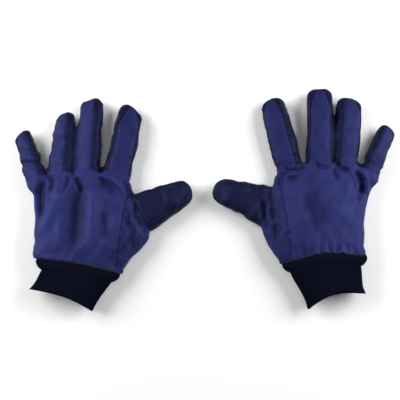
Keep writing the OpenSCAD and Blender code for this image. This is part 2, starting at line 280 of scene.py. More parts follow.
# Plan outlines of the hand: up its little-finger side, and up its thumb side past the web.
HAND_SIDES = {
    "left": (
        [(-66, -2), (-69, 10), (-69, 30), (-70, 60), (-71, 88), (-75, 112)],
        [(62, -25), (67, -6), (76, 6), (93, 23), (104, 40), (88, 84), (75, 121)],
    ),
    "right": (
        [(-58, -5), (-57, 20), (-58, 50), (-61, 74), (-69, 93), (-75, 112)],
        [(68, -16), (78, 0), (93, 26), (98, 50), (80, 90), (76, 121)],
    ),
}
# How far the hand's front edge bows out between the fingers, in millimetres.
KNUCKLE_BOW = {"left": 19, "right": 29}
WING_SEAM = {
    "left": [(71, 124), (59, 37), (53, -20)],
    "right": [(70, 124), (61, 71), (50, -20)],
}
# The hand's thickness at the hem, what it gains towards its middle, and what it loses at the
# knuckles and along the thumb's side.
HEM_FULL = 37.5 * MM
MIDDLE_GAIN = 3.5 * MM
KNUCKLE_LOSS = 12.5 * MM
THUMB_SIDE_LOSS = 7 * MM
# The wing ends this far up the plan, and its seam is about this long.
WING_TOP = 121.5 * MM
WING_SEAM_LENGTH = 150 * MM


# ---- plain form

def squared(angle, power):
    """Points at these angles round a circle that is squared up as the power falls below 1."""
    circle = np.column_stack((np.cos(angle), np.sin(angle)))
    return np.sign(circle) * np.abs(circle) ** power


def section(roll):
    """A soft box's outline, rolled and then stretched back to fill -1 to 1 both ways."""
    angle = np.linspace(0, 2 * np.pi, SECTION_POINTS, endpoint=False)
    turned = squared(angle, DIGIT_POWER) * BOX @ turn(roll).T
    return turned / np.abs(turned).max(axis=0)


def turn(degrees):
    """A matrix that turns column points clockwise."""
    a = math.radians(degrees)
    return np.array([[math.cos(a), math.sin(a)], [-math.sin(a), math.cos(a)]])


def smooth(t):
    """An even rise from 0 to 1 as t goes from 0 to 1, flat at both ends."""
    t = np.clip(t, 0, 1)
    return t * t * (3 - 2 * t)


def add_tube(parts, rings):
    """Closed surface through rings of points, with flat ends."""
    verts, faces = parts
    n = len(rings[0])
    start = len(verts)
    for ring in rings:
        verts.extend(map(tuple, ring))
    for i in range(len(rings) - 1):
        a = start + i * n
        faces.extend(
            (a + j, a + (j + 1) % n, a + n + (j + 1) % n, a + n + j) for j in range(n)
        )
    last = start + (len(rings) - 1) * n
    faces.append(tuple(range(start + n - 1, start - 1, -1)))
    faces.append(tuple(range(last, last + n)))


def hold_apart(glove, name, points, gap, amount):
    """Moves a finger's points off the planes half-way to its neighbours, to at least a gap."""
    k = FINGERS.index(name)
    for first in (k - 1, k):
        if not 0 <= first < len(FINGERS) - 1:
            continue
        a, b = (glove.digits[FINGERS[i]] for i in (first, first + 1))
        low = (a.root - a.half_root * a.across + b.root + b.half_root * b.across) / 2
        low = low + a.across * (a.drawn_centre(a.mid) + b.drawn_centre(b.mid)) / 2
        run = unit(a.ahead + b.ahead)
        out = np.array([run[1], -run[0]]) * glove.mirror
        sign = 1 if k == first else -1
        short = np.clip(gap - sign * ((points[:, :2] - low) @ out), 0, None)
        points[:, :2] += sign * (amount * short)[:, None] * out
    return points


def ring_places(digit, cap):
    """How far from its root each of a digit's rings lies, closer together round the tip."""
    length = digit.drawn_length()
    straight = np.linspace(-RUN_BACK[digit.kind], length - cap, 24)
    tip = length - cap * (1 - np.sin(np.linspace(0.1, 0.495 * np.pi, 12)))
    return np.concatenate((straight, tip))


def root_widening(digit, shape, y):
    """What a finger's half-width gains just behind its root, and then loses deep in the hand."""
    closes_web = shape[:, 0] * OPEN_SIDE[digit.name] <= 0
    gained = ROOT_OUT * smooth(-y / ROOT_RUN) * closes_web
    return gained - 2 * ROOT_OUT * smooth(-(y + 10 * MM) / (14 * MM))


def digit_rings(glove, digit):
    """Rings from inside the hand to the fingertip."""
    shape = section(ROLL[digit.side][digit.name])
    slant = TIP_SLANT[digit.side][digit.name]
    length = digit.drawn_length()
    cap = 0.9 * digit.half(digit.length)
    rings = []
    for y in ring_places(digit, cap):
        into_cap = np.clip((y - (length - cap)) / cap, 0, 1)
        round_off = (1 - into_cap ** 2.5) ** (1 / 2.3)
        half = digit.drawn_half(y) * round_off
        if digit.kind == "finger":
            half = half + root_widening(digit, shape, y)
        low = START_IN + TIP_RISE[digit.kind] * smooth((y - length + RISE_RUN) / RISE_RUN)
        top = digit.thick - START_IN - TIP_DROP * smooth((y - length + DROP_RUN) / DROP_RUN)
        top = top - SINK[digit.kind] * smooth(-y / RUN_BACK[digit.kind])
        half_z = (top - low) / 2 * (TIP_LEFT + (1 - TIP_LEFT) * round_off)
        across = shape[:, 0] * half + digit.drawn_centre(y)
        ahead = y + slant * shape[:, 0] * half * into_cap
        ring = digit.place(across, ahead, (top + low) / 2 + shape[:, 1] * half_z)
        if digit.kind == "finger":
            ring = hold_apart(glove, digit.name, ring, FORM_GAP, smooth(y / ROOT_RUN))
        rings.append(ring)
    return rings


def hand_rings(glove):
    """Rings across the hand, from just outside the hem to the roots of the fingers."""
    low_side, high_side = HAND_SIDES[glove.side]
    angle = np.linspace(0, 2 * np.pi, 2 * SECTION_POINTS, endpoint=False)
    u, w = squared(angle, HAND_POWER).T
    rings = []
    for t in np.linspace(0, 1, 26):
        a = along(low_side, t)
        b = along(high_side, t)
        centre = (a + b) / 2
        half = (b - a) / 2
        bow = KNUCKLE_BOW[glove.side] * smooth((t - 0.55) / 0.45)
        flat = centre + u[:, None] * half * (1 - START_IN / MM / np.linalg.norm(half))
        flat[:, 1] += bow * (1 - np.abs(u) ** 2.2)
        rings.append(np.column_stack((glove.row(flat), hand_height(t, u, w))))
    return rings


def hand_height(t, u, w):
    """Heights over a ring of the hand: fullest at its middle, thin at the knuckles."""
    full = HEM_FULL + MIDDLE_GAIN * smooth(t / 0.3) - KNUCKLE_LOSS * smooth((t - 0.5) / 0.45)
    full = full - THUMB_SIDE_LOSS * smooth((u - 0.35) / 0.65) * smooth(t / 0.3)
    return full / 2 + w * (full / 2 - START_IN)


def along(points, t):
    """The point a share t along a polyline."""
    points = np.asarray(points, float)
    steps = np.linalg.norm(np.diff(points, axis=0), axis=1)
    s = np.concatenate(([0], np.cumsum(steps))) / steps.sum()
    return np.array([np.interp(t, s, points[:, k]) for k in (0, 1)])


def plain_form(glove):
    """The joined lofts of a hand and its digits, as one closed mesh after a voxel remesh."""
    parts = ([], [])
    add_tube(parts, hand_rings(glove))
    for digit in glove.digits.values():
        add_tube(parts, digit_rings(glove, digit))
    mesh = bpy.data.meshes.new(f"{glove.side}_form")
    verts, faces = parts
    mesh.from_pydata(verts, [], faces)
    bm = bmesh.new()
    bm.from_mesh(mesh)
    bmesh.ops.recalc_face_normals(bm, faces=bm.faces)
    bm.to_mesh(mesh)
    bm.free()
    form = bpy.data.objects.new(mesh.name, mesh)
    bpy.context.scene.collection.objects.link(form)
    remesh = form.modifiers.new("remesh", "REMESH")
    remesh.mode = "VOXEL"
    remesh.voxel_size = VOXEL
    soften = form.modifiers.new("soften", "SMOOTH")
    soften.factor = 0.5
    soften.iterations = 5
    apply_modifiers(form)
    return form


def apply_modifiers(obj):
    bpy.context.view_layer.update()
    shown = obj.evaluated_get(bpy.context.evaluated_depsgraph_get())
    mesh = bpy.data.meshes.new_from_object(shown)
    obj.modifiers.clear()
    obj.data = mesh


def set_points(mesh, points):
    mesh.vertices.foreach_set("co", np.ascontiguousarray(points).ravel())
    mesh.update()


def swell(glove, form):
    """Padding's push on the shell: a cloth simulation with pressure. Returns the moved points."""
    rest = get_points(form.data)
    copy = bpy.data.objects.new(form.name + "_cloth", form.data.copy())
    bpy.context.scene.collection.objects.link(copy)
    hem_y = glove.from_hem(rest)[:, 1]
    pin = copy.vertex_groups.new(name="pin")
    tight = copy.vertex_groups.new(name="tight")
    seam = np.exp(-(seam_fields(glove, rest)["seam"] / (3 * MM)) ** 2)
    hold = smooth(-hem_y / 0.005)
    for i in range(len(rest)):
        if hold[i] > 0.01:
            pin.add([i], float(hold[i]), "REPLACE")
        if seam[i] > 0.05:
            tight.add([i], float(seam[i]), "REPLACE")
    cloth = copy.modifiers.new("cloth", "CLOTH")
    settings = cloth.settings
    settings.quality = 6
    settings.mass = 0.3
    settings.tension_stiffness = 12
    settings.compression_stiffness = 8
    settings.shear_stiffness = 5
    settings.bending_stiffness = 0.12
    settings.use_pressure = True
    settings.uniform_pressure_force = 4
    settings.vertex_group_mass = "pin"
    settings.vertex_group_shrink = "tight"
    settings.shrink_min = -0.01
    settings.shrink_max = 0.14
    settings.effector_weights.gravity = 0
    cloth.collision_settings.use_collision = False
    cloth.point_cache.frame_start = 1
    cloth.point_cache.frame_end = SWELL_FRAMES
    scene = bpy.context.scene
    for step in range(1, SWELL_FRAMES + 1):
        scene.frame_set(step)
    shown = copy.evaluated_get(bpy.context.evaluated_depsgraph_get())
    moved = get_points(shown.data) - rest
    bpy.data.objects.remove(copy)
    scene.frame_set(1)
    reach = np.linalg.norm(moved, axis=1, keepdims=True)
    moved *= np.minimum(1, SWELL_CAP / np.maximum(reach, 1e-9))
    return rest + moved


def subdivide(obj, points):
    """The object's faces divided once, with the points given in place of its own."""
    copy = bpy.data.objects.new("fine", obj.data.copy())
    set_points(copy.data, points)
    bpy.context.scene.collection.objects.link(copy)
    fine = copy.modifiers.new("fine", "SUBSURF")
    fine.levels = 1
    fine.render_levels = 1
    apply_modifiers(copy)
    mesh = copy.data
    bpy.data.objects.remove(copy)
    return mesh


# ---- fields

def line_distance(flat, line):
    """Distance of flat points from a polyline, and the share along it of the nearest place."""
    line = np.asarray(line, float)
    best = np.full(len(flat), 1e9)
    where = np.zeros(len(flat))
    lengths = np.linalg.norm(np.diff(line, axis=0), axis=1)
    total = lengths.sum()
    done = 0.0
    for a, b, length in zip(line[:-1], line[1:], lengths):
        t = np.clip((flat - a) @ (b - a) / length ** 2, 0, 1)
        gap = np.linalg.norm(flat - a - t[:, None] * (b - a), axis=1)
        nearer = gap < best
        best[nearer] = gap[nearer]
        where[nearer] = ((done + t * length) / total)[nearer]
        done += length
    return best, where


def digit_regions(glove, rest):
    """Which digit each point lies on, -1 for the hand, with every digit's local points."""
    owner = np.full(len(rest), -1)
    best = np.full(len(rest), 9.0)
    by_digit = []
    for k, name in enumerate(DIGITS):
        digit = glove.digits[name]
        p = digit.local(rest)
        by_digit.append(p)
        margin = 3 * MM if name == "thumb" else (1.6 + 2.6 * smooth(p[:, 1] / ROOT_RUN)) * MM
        off_axis = np.abs(p[:, 0] - digit.drawn_centre(p[:, 1]))
        u = off_axis / (digit.drawn_half(p[:, 1]) + margin)
        along_it = (p[:, 1] > 0) & (p[:, 1] < digit.drawn_length() + 4 * MM)
        mine = along_it & (u < 1) & (u < best)
        owner[mine] = k
        best[mine] = u[mine]
    return owner, by_digit


def strip_angle(digit, p):
    """The angle round a digit's box-shaped section, with a corner at each odd 45 degrees."""
    roll = ROLL[digit.side][digit.name]
    angle = np.linspace(0, 2 * np.pi, 200)
    reach = np.abs(squared(angle, DIGIT_POWER) * BOX @ turn(roll).T).max(axis=0)
    centre = digit.thick / 2
    x = (p[:, 0] - digit.drawn_centre(p[:, 1])) / digit.drawn_half(p[:, 1])
    flat = np.column_stack((x, (p[:, 2] - centre) / centre)) * reach
    back = flat @ turn(roll) / BOX
    return np.arctan2(back[:, 1], back[:, 0])


# Painted shade on the thumb's wing, past its seam, as a share of the way to the dark side colour.
WING_PAINTED_SHADE = 0.3
# Painted shade on each digit: how much darker its cloth is painted than the back of the hand,
# standing in for the shade on cloth that turns away from the lights; side strips are at 1.
DIGIT_PAINTED_SHADE = dict(index=0.25, middle=0.15, ring=0.25, little=0.35, thumb=0.9)


def past_wing_seam(glove, plan):
    """Which plan points lie on the thumb's side of the wing's seam."""
    line = np.array(WING_SEAM[glove.side]) * MM
    return plan[:, 0] > np.interp(plan[:, 1], line[::-1, 1], line[::-1, 0])


def just_behind(digit, p, reach):
    """Which local points lie in the hand, within a reach behind a digit's root."""
    return (p[:, 1] <= 0) & (p[:, 1] > -reach) & (np.abs(p[:, 0]) < digit.half_root)


def seam_fields(glove, rest):
    """For every point, its distance from the nearest seam, its place on the cloth and how much
    painted shade its cloth gets.
    """
    owner, by_digit = digit_regions(glove, rest)
    plan = glove.plan(rest)
    seam, where = line_distance(plan, np.array(WING_SEAM[glove.side]) * MM)
    run = where * WING_SEAM_LENGTH
    # The tone is painted shade: cloth that turns away from the lights is painted darker.
    tone = WING_PAINTED_SHADE * past_wing_seam(glove, plan)
    for k, name in enumerate(DIGITS):
        digit = glove.digits[name]
        p = by_digit[k]
        near = (owner == k) | just_behind(digit, p, 12 * MM)
        angle = strip_angle(digit, p)
        quarter = np.pi / 2
        from_corner = (angle + np.pi / 4) % quarter
        gap = np.minimum(from_corner, quarter - from_corner)
        radius = 0.5 * (digit.half(p[:, 1]) + digit.thick / 2)
        distance = gap * radius + np.clip(-p[:, 1], 0, None)
        closer = near & (distance < seam)
        seam[closer] = distance[closer]
        run[closer] = p[closer, 1]
        # Each digit gets its painted shade, and its side strips get the most.
        tone[owner == k] = DIGIT_PAINTED_SHADE[name]
        side_strip = (owner == k) & (np.abs(np.cos(angle)) > math.cos(np.pi / 4))
        tone[side_strip] = 1
        if name == "thumb":
            past_side = np.clip(np.abs(p[:, 0]) - digit.half_root - 4 * MM, 0, None)
            at_root = np.abs(p[:, 1]) + past_side
            closer = at_root < seam
            seam[closer] = at_root[closer]
            run[closer] = p[closer, 0]
    weave = np.column_stack((plan, rest[:, 2]))
    for k, name in enumerate(DIGITS):
        mine = owner == k
        weave[mine] = by_digit[k][mine]
    return dict(seam=seam, run=run, weave=weave, tone=tone, owner=owner, by_digit=by_digit)


# ---- folds

# Folds in the cloth over the back of a hand: plan points in millimetres, half-width and depth in
# millimetres. A negative depth is a ridge.
FOLDS = {
    "left": [
        ([(27, 132), (44, 124), (60, 111), (74, 94)], 3.5, -1.8),
        ([(22, 126), (40, 114), (56, 100)], 8, 2.6),
        ([(-2, 118), (-6, 84), (-6, 40), (-10, 6)], 12, 4.6),
        ([(16, 110), (20, 84), (20, 44)], 10, -1.8),
        ([(-10, 128), (-4, 119), (2, 104)], 3.5, 2.4),
        ([(-18, 128), (-24, 116), (-30, 98)], 3.5, 2.2),
        ([(-30, 124), (-42, 84), (-52, 36)], 8, -2.0),
        ([(-58, 122), (-61, 98), (-58, 62)], 5, 2.8),
        ([(-46, 132), (-42, 118), (-44, 100)], 4, 2.4),
        ([(36, 76), (40, 30)], 10, 2.2),
        ([(80, 92), (84, 72), (98, 46)], 4, 2.8),
        ([(70, 76), (80, 44), (76, 12)], 5, 2.4),
        ([(90, 60), (88, 36)], 3.5, -1.6),
    ],
    "right": [
        ([(14, 137), (2, 131), (-10, 134)], 3, 1.8),
        ([(-16, 140), (-26, 130), (-42, 124)], 3, 2.4),
        ([(-18, 138), (-14, 126), (-22, 112)], 3.5, 1.6),
        ([(28, 136), (42, 128), (60, 127)], 3.2, 2.2),
        ([(34, 128), (46, 116), (62, 112)], 4, 1.6),
        ([(52, 134), (62, 120), (67, 104)], 4, 1.8),
        ([(-46, 130), (-55, 112), (-58, 84)], 4, 3.2),
        ([(-60, 108), (-50, 92), (-46, 76)], 4, 1.8),
        ([(96, 84), (92, 56), (86, 32)], 4, 2.6),
        ([(84, 104), (80, 60), (72, 10)], 4.5, 2.6),
        ([(72, 62), (68, 30)], 3.5, 1.8),
        ([(26, 104), (16, 60), (18, 24)], 15, 2.4),
        ([(-20, 96), (-24, 40)], 13, -1.2),
    ],
}
# The folds of the list above are all made this many times as deep.
FOLD_DEPTH = 1.6
# Creases across a digit: how far along its length, half-width and depth in millimetres.
DIGIT_FOLDS = {
    "left": dict(
        index=[(0.62, 6, 0.7)],
        middle=[(0.14, 7, 0.8)],
        ring=[(0.55, 3.5, 0.9), (0.10, 5, 0.5)],
        little=[(0.34, 3.5, 2.0), (0.62, 5, 0.7)],
        thumb=[(0.40, 7, 1.2)],
    ),
    "right": dict(
        index=[(0.05, 4, 1.2)],
        middle=[(0.60, 7, 0.6)],
        ring=[(0.10, 4, 1.2)],
        little=[(0.16, 4, 1.8), (0.55, 6, 0.8)],
        thumb=[(0.34, 7, 1.6), (0.62, 6, 0.8)],
    ),
}
# How far a crease wanders along its digit.
FOLD_WANDER = 2.5 * MM
# The depths of a seam's groove, of the puckers beside it and of the hem's turned edge.
SEAM_GROOVE = 1.0 * MM
PUCKER = 0.35 * MM
HEM_TURN = 1.0 * MM
# How far the shell is gathered along its hem, and how far the middle of the hem arches up.
HEM_GATHER = {"left": 0.35 * MM, "right": 2.4 * MM}
HEM_ARCH = {"left": 2 * MM, "right": 7 * MM}
HEM_HALF = 60 * MM
# How far the hem lies from the frame's middle, towards the thumb.
HEM_SHIFT = {"left": -1.5 * MM, "right": 3.5 * MM}


def hem_rise(glove, x):
    """How far ahead of a straight hem the shell's edge lies, x across the hem."""
    return HEM_ARCH[glove.side] * (1 - smooth(np.abs(x - HEM_SHIFT[glove.side]) / HEM_HALF))


def profile(gap, width):
    """A soft valley with a low shoulder each side."""
    t = gap / width
    return np.exp(-t ** 2) - 0.32 * np.exp(-(t - 1.9) ** 2 / 0.5)


def noise(points, size, seed):
    """Smooth noise made of sine waves in random directions."""
    random = np.random.default_rng(seed)
    total = np.zeros(len(points))
    for _ in range(7):
        direction = random.normal(size=3)
        wave = direction / np.linalg.norm(direction) * 2 * np.pi / size * random.uniform(0.7, 1.4)
        total += np.sin(points @ wave + random.uniform(0, 2 * np.pi))
    return total / 7 ** 0.5


def fold_depth(glove, plan):
    """The folds listed for the back of a hand, fading out at their ends."""
    depth = np.zeros(len(plan))
    for line, width, deep in FOLDS[glove.side]:
        gap, where = line_distance(plan, np.array(line) * MM)
        ends = smooth(0.2 + where / 0.25) * smooth((1 - where) / 0.35)
        depth += ends * FOLD_DEPTH * deep * MM * profile(gap, width * MM)
    return depth


def digit_fold_depth(glove, fields, rest):
    """The creases across the digits, which wander and fade a little."""
    depth = np.zeros(len(rest))
    for k, name in enumerate(DIGITS):
        digit = glove.digits[name]
        p = fields["by_digit"][k]
        mine = (fields["owner"] == k) | just_behind(digit, p, 10 * MM)
        wander = FOLD_WANDER * noise(rest, 35 * MM, 5 + k)
        fade = 0.35 + 0.65 * smooth(0.5 + 0.6 * noise(rest, 50 * MM, 31 + k))
        for share, width, deep in DIGIT_FOLDS[glove.side][name]:
            gap = np.abs(p[:, 1] - share * digit.length + wander)
            depth += mine * fade * deep * MM * profile(gap, width * MM)
    return depth


def seam_depth(seam, rest):
    """A groove along each seam, and puckers beside it."""
    groove = SEAM_GROOVE * np.exp(-(seam / (1.4 * MM)) ** 2)
    return groove + PUCKER * noise(rest, 13 * MM, 3) * np.exp(-(seam / (6 * MM)) ** 2)


def hem_depth(glove, rest, up):
    """Gathers above the middle of the hem, deeper on the back, and the hem's turned edge."""
    hem = glove.from_hem(rest)
    above = np.clip(hem[:, 1] - hem_rise(glove, hem[:, 0]), 0, None)
    near_middle = np.exp(-(hem[:, 0] / (34 * MM)) ** 2) * np.exp(-(above / (13 * MM)) ** 2)
    waves = noise(hem[:, :1] * [1, 0, 0], 13 * MM, 9)
    gathers = HEM_GATHER[glove.side] * waves * near_middle * (1 + up)
    return gathers + HEM_TURN * (1 - smooth(above / (6 * MM))) ** 1.5


def unevenness(rest, down):
    """The cloth's own lumps, with more of them on the palm."""
    lumps = 0.7 * MM * noise(rest, 42 * MM, 11) + 0.35 * MM * noise(rest, 16 * MM, 12)
    return lumps + 0.8 * MM * down * noise(rest, 30 * MM, 13)


def crease(glove, fields, rest, points, normals):
    """Moves points in along their normals at folds, seams, creases and the hem.

    Returns the points and how deep each one has sunk.
    """
    up = smooth((normals[:, 2] + 0.1) / 0.5)
    down = smooth((-normals[:, 2] + 0.1) / 0.5)
    depth = up * fold_depth(glove, glove.plan(rest))
    depth += digit_fold_depth(glove, fields, rest)
    depth += seam_depth(fields["seam"], rest)
    depth += hem_depth(glove, rest, up)
    depth += unevenness(rest, down)
    moved = points - depth[:, None] * normals
    return above_floor(moved, 0.2 * MM), depth


def keep_apart(glove, fields, points):
    """Lets neighbouring fingers touch, but not pass into each other."""
    for k, name in enumerate(FINGERS):
        mine = fields["owner"] == k
        ahead = smooth(fields["by_digit"][k][mine, 1] / ROOT_RUN)
        points[mine] = hold_apart(glove, name, points[mine], TOUCH_GAP, ahead)
    return points


# ---- pieces

def new_object(name, verts, faces):
    mesh = bpy.data.meshes.new(name)
    mesh.from_pydata(verts.tolist(), [], faces)
    mesh.validate()
    mesh.polygons.foreach_set("use_smooth", [True] * len(mesh.polygons))
    obj = bpy.data.objects.new(name, mesh)
    bpy.context.scene.collection.objects.link(obj)
    return obj


def set_attribute(mesh, name, kind, values):
    attribute = mesh.attributes.new(name, kind, "POINT")
    key = "vector" if kind == "FLOAT_VECTOR" else "value"
    attribute.data.foreach_set(key, np.ascontiguousarray(values, np.float32).ravel())


def layer(name, outer, inner, quads, chosen, extras, normals):
    """A closed piece from the chosen faces: outer skin, inner skin and the rim between them.

    It is shaded with the whole glove's normals, so that a cut between two pieces doesn't show.
    """
    used, faces = np.unique(quads[chosen], return_inverse=True)
    faces = faces.reshape(-1, quads.shape[1])
    n = len(used)
    edges = {}
    for face in faces:
        for i in range(len(face)):
            a, b = face[i], face[(i + 1) % len(face)]
            if (b, a) in edges:
                del edges[(b, a)]
            else:
                edges[(a, b)] = True
    all_faces = [tuple(f) for f in faces]
    all_faces += [tuple(n + v for v in reversed(f)) for f in all_faces]
    all_faces += [(b, a, n + a, n + b) for a, b in edges]
    verts = np.vstack((outer[used], inner[used]))
    obj = new_object(name, verts, all_faces)
    for key, values in extras.items():
        both = np.concatenate((values[used], values[used]))
        kind = "FLOAT_VECTOR" if values.ndim == 2 else "FLOAT"
        set_attribute(obj.data, key, kind, both)
    both = np.concatenate((normals[used], -normals[used]))
    obj.data.normals_split_custom_set_from_vertices(both.tolist())
    return obj


def quads_of(mesh):
    loops = np.empty(len(mesh.loops), int)
    mesh.loops.foreach_get("vertex_index", loops)
    return loops.reshape(-1, 4)


def split_faces(glove, mesh_rest, quads):
    """Which named piece each face belongs to."""
    middle = mesh_rest[quads].mean(axis=1)
    owner, by_digit = digit_regions(glove, middle)
    names = np.full(len(quads), "", dtype=object)
    plan = glove.plan(middle)
    hem = glove.from_hem(middle)
    hand = (owner < 0) & (hem[:, 1] > hem_rise(glove, hem[:, 0]))
    in_wing = hand & past_wing_seam(glove, plan) & (plan[:, 1] < WING_TOP)
    top = middle[:, 2] > MID_HEIGHT
    names[hand & top] = "back_panel"
    names[hand & ~top] = "palm_panel"
    names[in_wing] = "thumb_wing"
    for k, name in enumerate(DIGITS):
        digit = glove.digits[name]
        y = by_digit[k][:, 1]
        names[(owner == k) & (y <= digit.split)] = name + "_base"
        names[(owner == k) & (y > digit.split)] = name + "_tip"
    return names


def follow(piece, glove, part):
    """Makes a hand's piece move with the hand's body; a digit's piece only has its transform baked in
    place.
    """
    side = glove.side
    if part.endswith(("_base", "_tip")):
        name, where = part.split("_")
        digit = glove.digits[name]
        if where == "base":
            digit.axis_point(0)
            digit.axis_point(0.5 * digit.mid)
            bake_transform(piece)
        else:
            digit.axis_point(0.62 * digit.mid)
            digit.axis_point(1.38 * digit.mid)
            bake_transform(piece)
    else:
        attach(piece, f"{side}_hand")


def build_glove(glove):
    side = glove.side
    form = plain_form(glove)
    rest = get_points(form.data)
    moved = swell(glove, form)
    fine_rest = subdivide(form, rest)
    fine = subdivide(form, moved)
    rest_points = get_points(fine_rest)
    points = get_points(fine)
    quads = quads_of(fine)
    fields = seam_fields(glove, rest_points)
    points, depth = crease(glove, fields, rest_points, points, mesh_normals(fine))
    points = keep_apart(glove, fields, points)
    set_points(fine, points)
    normals = mesh_normals(fine)
    inner = above_floor(points - SHELL_T * normals, 0.1 * MM)
    names = split_faces(glove, rest_points, quads)
    # The tone attribute carries painted shade, and the depth sets the painted shade in the folds.
    extras = {key: fields[key] for key in ("seam", "run", "weave", "tone")}
    extras["depth"] = depth
    for part in sorted(set(names) - {""}):
        node = part + "_shell" if part.endswith(("_base", "_tip")) else part
        piece = layer(f"{side}_{node}_cloth", points, inner, quads, names == part, extras, normals)
        piece.data.materials.append(MATERIALS["shell"])
        follow(piece, glove, part)
        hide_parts(f"{side}_{node}")
    tree = BVHTree.FromPolygons(points.tolist(), quads.tolist())
    add_liner(glove, form, rest, points[:len(rest)], tree)
    bpy.data.objects.remove(form)


def above_floor(points, height):
    """Lifts the points that lie below a height up to it."""
    points[:, 2] = np.maximum(points[:, 2], height)
    return points


def tuck_in(points, tree, depth):
    """Moves points that lie less than a depth inside the shell to that depth."""
    tucked = points.copy()
    for i, point in enumerate(points.tolist()):
        near, normal, _, _ = tree.find_nearest(point)
        if (near - Vector(point)).dot(normal) < depth:
            tucked[i] = near - depth * normal
    return above_floor(tucked, 1.4 * MM)


def depth_inside(points, tree):
    """How far inside the shell each point lies; below zero is outside it."""
    depths = np.empty(len(points))
    for i, point in enumerate(points.tolist()):
        near, normal, _, _ = tree.find_nearest(point)
        depths[i] = (near - Vector(point)).dot(normal)
    return depths


def add_liner(glove, form, rest, moved, tree):
    """Batting and lining in one closed layer under each stretch of the shell."""
    side = glove.side
    mesh = form.data
    quads = quads_of(mesh)
    set_points(mesh, moved)
    normals = mesh_normals(mesh)
    outer = tuck_in(moved - LINER_OUT * normals, tree, 0.8 * LINER_OUT)
    inner = tuck_in(moved - LINER_IN * normals, tree, 0.7 * LINER_IN)
    names = split_faces(glove, rest, quads)
    hem = glove.from_hem(rest[quads].mean(axis=1))
    names[hem[:, 1] < hem_rise(glove, hem[:, 0]) + LINER_HEM] = ""
    # A face that spans a crease of the shell would show through it.
    names[depth_inside(outer[quads].mean(axis=1), tree) < 1.3 * SHELL_T] = ""
    names[np.isin(names, ["back_panel", "palm_panel", "thumb_wing"])] = "hand"
    for part in sorted(set(names) - {""}):
        node = f"{side}_{part}_liner"
        piece = layer(node + "_pad", outer, inner, quads, names == part, {"weave": rest}, normals)
        piece.data.materials.append(MATERIALS["liner"])
        follow(piece, glove, part)
        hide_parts(node)


# ---- cuff

RIBS = 72
RIB_STEPS = 6
RIB_DEPTH = 0.75 * MM
KNIT_WALL = 2.2 * MM
# Distances along the cuff are from the hem, below zero towards the wrist.
BAND_Y = -1.6 * MM
WAIST_Y = -16 * MM
CUFF_END = {"left": -56 * MM, "right": -65 * MM}
# How much narrower the open end is than the waist, each side.
CUFF_TAPER = {"left": 5 * MM, "right": 10 * MM}
# How far the middle of the cuff's open end is drawn back from its corners.
CUFF_ARCH = {"left": 6 * MM, "right": 11 * MM}
# The open end is also pulled askew, its thumb side further out, and flares at its corners.
CUFF_SKEW = 7.5 * MM
CUFF_LIFT = 3 * MM
CUFF_FLARE = 2 * MM
CUFF_SWING = {"left": 6 * MM, "right": 2 * MM}
# Half the knit's width and thickness at the waist, and what the band adds to them at the hem.
WAIST_HALF_W = 50 * MM
WAIST_HALF_T = 14.6 * MM
BAND_OUT = 10.3 * MM
BAND_UP = 1.6 * MM
# How far the band's roll bulges, how far the knit is drawn in, and how far its open end gapes.
BAND_ROLL = 0.8 * MM
KNIT_DRAWN_IN = 1.2 * MM
CUFF_GAPE = 3 * MM
TAPE_HALF_W = 60.6 * MM
TAPE_HALF_T = 16.2 * MM
TAPE_YS = (0.8 * MM, -0.4 * MM, -1.6 * MM)


def cuff_rings(glove, stations, rib, inward):
    """Rings down the cuff, at stations of (y, half-width, half-thickness, share of the ribs)."""
    cuff = glove.from_hem(node_points(f"{glove.side}_knit_cuff")[:, :2])
    end_y = float(cuff[:, 1].min())
    at_end = cuff[:, 1] < end_y + 1 * MM
    end_x = (float(cuff[at_end, 0].min()), float(cuff[at_end, 0].max()))
    angle = np.linspace(0, 2 * np.pi, RIBS * RIB_STEPS, endpoint=False)
    ripple = rib * np.cos(angle * RIBS)
    rings = []
    for y, half_w, half_t, amount in stations:
        share = np.clip((y - WAIST_Y) / (CUFF_END[glove.side] - WAIST_Y), 0, 1)
        centre = share * (end_x[0] + end_x[1]) / 2
        shape = squared(angle, 0.86 + 0.2 * share)
        x = centre + shape[:, 0] * (half_w - inward) + np.cos(angle) * ripple * amount
        z = MID_HEIGHT + shape[:, 1] * (half_t - inward) + np.sin(angle) * ripple * amount
        rise = CUFF_ARCH[glove.side] * share ** 1.6 * (1 - np.abs(shape[:, 0]) ** 1.8)
        rise -= CUFF_SKEW * share * shape[:, 0] - CUFF_LIFT * share
        x = x + HEM_SHIFT[glove.side] + shape[:, 0] * CUFF_FLARE * share ** 2
        x = x - CUFF_SWING[glove.side] * share
        rise += hem_rise(glove, x) * (1 - share)
        rings.append(glove.at_hem(x, y + rise, z))
    return rings


def ring_wall(name, outer, inner):
    """A closed wall between two stacks of rings that start and end together."""
    rings = outer + inner[::-1]
    n = len(rings[0])
    verts = np.vstack(rings)
    faces = []
    for i in range(len(rings)):
        a = i * n
        b = ((i + 1) % len(rings)) * n
        faces.extend((a + j, b + j, b + (j + 1) % n, a + (j + 1) % n) for j in range(n))
    return new_object(name, verts, faces)


def band_stations(steps):
    """The rolled band: full where it leaves the hem, curving in to the waist."""
    stations = []
    for t in np.linspace(0, 1, steps):
        y = BAND_Y + (WAIST_Y - BAND_Y) * t
        bulge = max(0, math.sin(math.pi * (0.1 + 0.9 * t))) ** 0.5
        fullness = 1 - t ** 2.4
        half_w = WAIST_HALF_W + BAND_OUT * fullness + BAND_ROLL * bulge
        half_t = WAIST_HALF_T + BAND_UP * fullness
        stations.append((y, half_w, half_t, 0.5 + 0.5 * t))
    return stations


